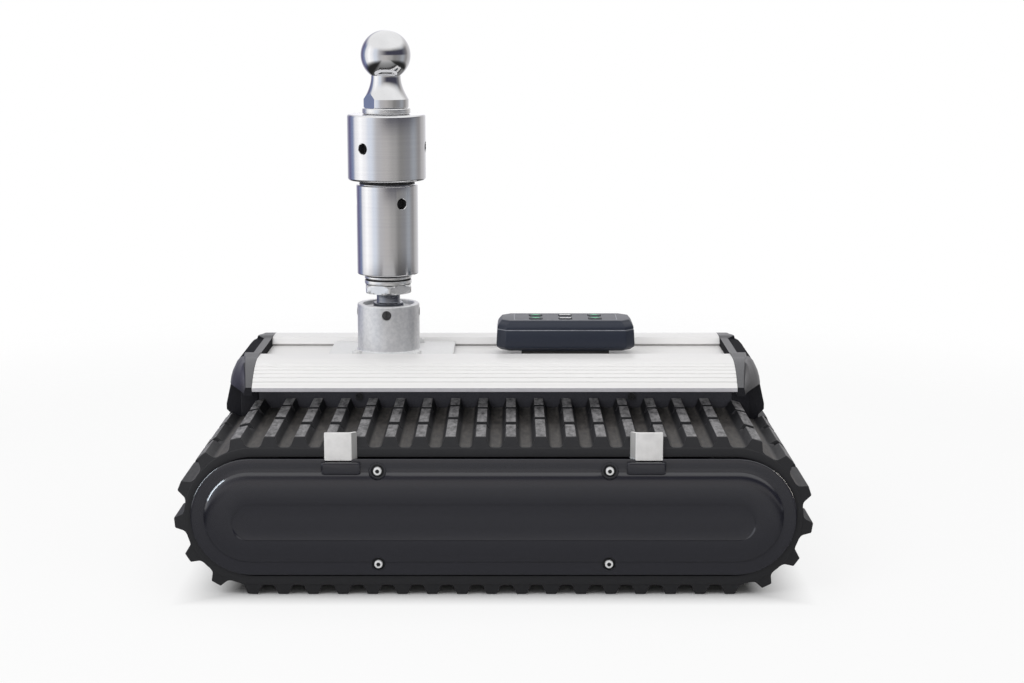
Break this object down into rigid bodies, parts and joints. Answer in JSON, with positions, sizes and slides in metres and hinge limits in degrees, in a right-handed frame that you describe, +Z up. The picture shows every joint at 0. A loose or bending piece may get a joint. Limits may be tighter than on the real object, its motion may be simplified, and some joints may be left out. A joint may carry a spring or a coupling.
{
  "type": "tracked trailer mover",
  "caption": "Remote-controlled tracked mover for trailers and caravans, with a grooved aluminium roof, covered rubber tracks and a tow ball on a screw jack post.",
  "frame": {"origin": "middle of the footprint, on the ground under the track lugs", "axes": "+X along the tracks with the post towards -X, +Y away from the pictured side, +Z up"},
  "size_m": [0.5972, 0.48, 0.5211],
  "materials": {
    "anodised_aluminium": "pale matt anodised",
    "black_plastic": "fine grained",
    "painted_chassis": "satin powder coat",
    "black_screws": "black oxide",
    "battery_case": "matt",
    "circuit_board": "solder mask",
    "motor_paint": "satin",
    "black_steel_plate": "satin",
    "bright_steel": "bright zinc",
    "track_rubber": "moulded, tops worn grey",
    "satin_cover": "satin",
    "guide_steel": "brushed",
    "cast_aluminium": "fine cast, blasted",
    "wheel_iron": "painted",
    "roller_plastic": "moulded",
    "bearing_bronze": "machined",
    "dark_steel": "oiled",
    "turned_aluminium": "turned and brushed",
    "ball_chrome": "polished",
    "handset_plastic": "fine grained",
    "foot_rubber": "matt",
    "cell_wrap": "shrink wrap",
    "drive_keys": "soft touch",
    "plain_keys": "soft touch"
  },
  "bodies": {
    "frame": {"roof": "anodised_aluminium", "end_cap_left": "black_plastic", "end_cap_right": "black_plastic", "end_cap_screws": "black_screws", "chassis_box": "painted_chassis", "chassis_side_screws": "black_screws", "chassis_end_covers": "black_plastic", "battery_pack": "battery_case", "control_board": "circuit_board", "gear_motors": "motor_paint", "inner_plates": "black_steel_plate", "outer_plates": "black_steel_plate", "tie_rods": "bright_steel", "shaft_bearings": "bright_steel", "idler_axles": "bright_steel", "roller_axles": "bright_steel", "track_near": "track_rubber", "track_far": "track_rubber", "cover_near": "satin_cover", "cover_far": "satin_cover", "cover_screws": "bright_steel", "track_guides": "guide_steel", "track_guide_screws": "bright_steel", "hitch_socket": "cast_aluminium", "socket_screws": "bright_steel", "socket_set_screws": "black_screws", "retaining_disc": "cast_aluminium"},
    "drive_near": {"drive_wheel_near": "wheel_iron", "drive_shaft_near": "bright_steel"},
    "drive_far": {"drive_wheel_far": "wheel_iron", "drive_shaft_far": "bright_steel"},
    "idler_near": {"idler_wheel_near": "wheel_iron"},
    "idler_far": {"idler_wheel_far": "wheel_iron"},
    "roller_near_left_body": {"roller_near_left": "roller_plastic"},
    "roller_near_middle_body": {"roller_near_middle": "roller_plastic"},
    "roller_near_right_body": {"roller_near_right": "roller_plastic"},
    "roller_far_left_body": {"roller_far_left": "roller_plastic"},
    "roller_far_middle_body": {"roller_far_middle": "roller_plastic"},
    "roller_far_right_body": {"roller_far_right": "roller_plastic"},
    "post_swivel_pad": {"swivel_pad": "bearing_bronze"},
    "post_spindle": {"spindle": "dark_steel", "shoulder_nut": "bright_steel", "lower_race": "bright_steel"},
    "post_barrel": {"jack_barrel": "turned_aluminium", "upper_race": "bright_steel"},
    "post_ball": {"tow_ball": "ball_chrome", "ball_washer": "bright_steel", "shank_nut": "bright_steel"},
    "post_collar": {"turning_collar": "turned_aluminium"},
    "handset": {"handset_base": "handset_plastic", "handset_lid": "handset_plastic", "handset_foot": "foot_rubber", "handset_board": "circuit_board", "handset_cells": "cell_wrap"},
    "key_left_forward_body": {"key_left_forward": "drive_keys"},
    "key_left_back_body": {"key_left_back": "drive_keys"},
    "key_right_forward_body": {"key_right_forward": "drive_keys"},
    "key_right_back_body": {"key_right_back": "drive_keys"},
    "key_power_body": {"key_power": "plain_keys"},
    "key_lamp_body": {"key_lamp": "plain_keys"}
  },
  "joints": [
    {"name": "drive_near_spin", "type": "hinge", "parent": "frame", "child": "drive_near", "pos_m": [0.2225, -0.142, 0.076], "axis": [0, 1, 0], "continuous": true},
    {"name": "idler_near_spin", "type": "hinge", "parent": "frame", "child": "idler_near", "pos_m": [-0.2225, -0.142, 0.076], "axis": [0, 1, 0], "continuous": true},
    {"name": "roller_near_left_spin", "type": "hinge", "parent": "frame", "child": "roller_near_left_body", "pos_m": [-0.084, -0.142, 0.0394], "axis": [0, 1, 0], "continuous": true},
    {"name": "roller_near_middle_spin", "type": "hinge", "parent": "frame", "child": "roller_near_middle_body", "pos_m": [0, -0.142, 0.0394], "axis": [0, 1, 0], "continuous": true},
    {"name": "roller_near_right_spin", "type": "hinge", "parent": "frame", "child": "roller_near_right_body", "pos_m": [0.084, -0.142, 0.0394], "axis": [0, 1, 0], "continuous": true},
    {"name": "drive_far_spin", "type": "hinge", "parent": "frame", "child": "drive_far", "pos_m": [-0.2225, 0.142, 0.076], "axis": [0, 1, 0], "continuous": true},
    {"name": "idler_far_spin", "type": "hinge", "parent": "frame", "child": "idler_far", "pos_m": [0.2225, 0.142, 0.076], "axis": [0, 1, 0], "continuous": true},
    {"name": "roller_far_left_spin", "type": "hinge", "parent": "frame", "child": "roller_far_left_body", "pos_m": [-0.084, 0.142, 0.0394], "axis": [0, 1, 0], "continuous": true},
    {"name": "roller_far_middle_spin", "type": "hinge", "parent": "frame", "child": "roller_far_middle_body", "pos_m": [0, 0.142, 0.0394], "axis": [0, 1, 0], "continuous": true},
    {"name": "roller_far_right_spin", "type": "hinge", "parent": "frame", "child": "roller_far_right_body", "pos_m": [0.084, 0.142, 0.0394], "axis": [0, 1, 0], "continuous": true},
    {"name": "post_swivel", "type": "hinge", "parent": "frame", "child": "post_swivel_pad", "pos_m": [-0.111, 0, 0.204], "axis": [0, 0, 1], "continuous": true},
    {"name": "post_tilt", "type": "hinge", "parent": "post_swivel_pad", "child": "post_spindle", "pos_m": [-0.111, 0, 0.218], "axis": [0, 1, 0], "range_deg": [-4, 4]},
    {"name": "barrel_turn", "type": "hinge", "parent": "post_spindle", "child": "post_barrel", "pos_m": [-0.111, 0, 0.3], "axis": [0, 0, 1], "continuous": true},
    {"name": "ball_lift", "type": "slide", "parent": "post_barrel", "child": "post_ball", "axis": [0, 0, 1], "range_m": [0, 0.04]},
    {"name": "collar_turn", "type": "hinge", "parent": "post_ball", "child": "post_collar", "pos_m": [-0.111, 0, 0.4], "axis": [0, 0, 1], "range_deg": [0, 2885]},
    {"name": "handset_lift", "type": "slide", "parent": "frame", "child": "handset", "axis": [0, 0, 1], "range_m": [0, 0.15]},
    {"name": "key_left_forward_press", "type": "slide", "parent": "handset", "child": "key_left_forward_body", "axis": [0, 0, -1], "range_m": [0, 0.0005], "stiffness_N_per_m": 400, "springref_m": -0.0005},
    {"name": "key_left_back_press", "type": "slide", "parent": "handset", "child": "key_left_back_body", "axis": [0, 0, -1], "range_m": [0, 0.0005], "stiffness_N_per_m": 400, "springref_m": -0.0005},
    {"name": "key_right_forward_press", "type": "slide", "parent": "handset", "child": "key_right_forward_body", "axis": [0, 0, -1], "range_m": [0, 0.0005], "stiffness_N_per_m": 400, "springref_m": -0.0005},
    {"name": "key_right_back_press", "type": "slide", "parent": "handset", "child": "key_right_back_body", "axis": [0, 0, -1], "range_m": [0, 0.0005], "stiffness_N_per_m": 400, "springref_m": -0.0005},
    {"name": "key_power_press", "type": "slide", "parent": "handset", "child": "key_power_body", "axis": [0, 0, -1], "range_m": [0, 0.0005], "stiffness_N_per_m": 400, "springref_m": -0.0005},
    {"name": "key_lamp_press", "type": "slide", "parent": "handset", "child": "key_lamp_body", "axis": [0, 0, -1], "range_m": [0, 0.0005], "stiffness_N_per_m": 400, "springref_m": -0.0005}
  ],
  "couplings": [
    {"joint": "idler_near_spin", "follows": "drive_near_spin", "ratio": 1},
    {"joint": "roller_near_left_spin", "follows": "drive_near_spin", "ratio": 2.83},
    {"joint": "roller_near_middle_spin", "follows": "drive_near_spin", "ratio": 2.83},
    {"joint": "roller_near_right_spin", "follows": "drive_near_spin", "ratio": 2.83},
    {"joint": "idler_far_spin", "follows": "drive_far_spin", "ratio": 1},
    {"joint": "roller_far_left_spin", "follows": "drive_far_spin", "ratio": 2.83},
    {"joint": "roller_far_middle_spin", "follows": "drive_far_spin", "ratio": 2.83},
    {"joint": "roller_far_right_spin", "follows": "drive_far_spin", "ratio": 2.83},
    {"joint": "collar_turn", "follows": "ball_lift", "rad_per_m": 1256.6}
  ]
}
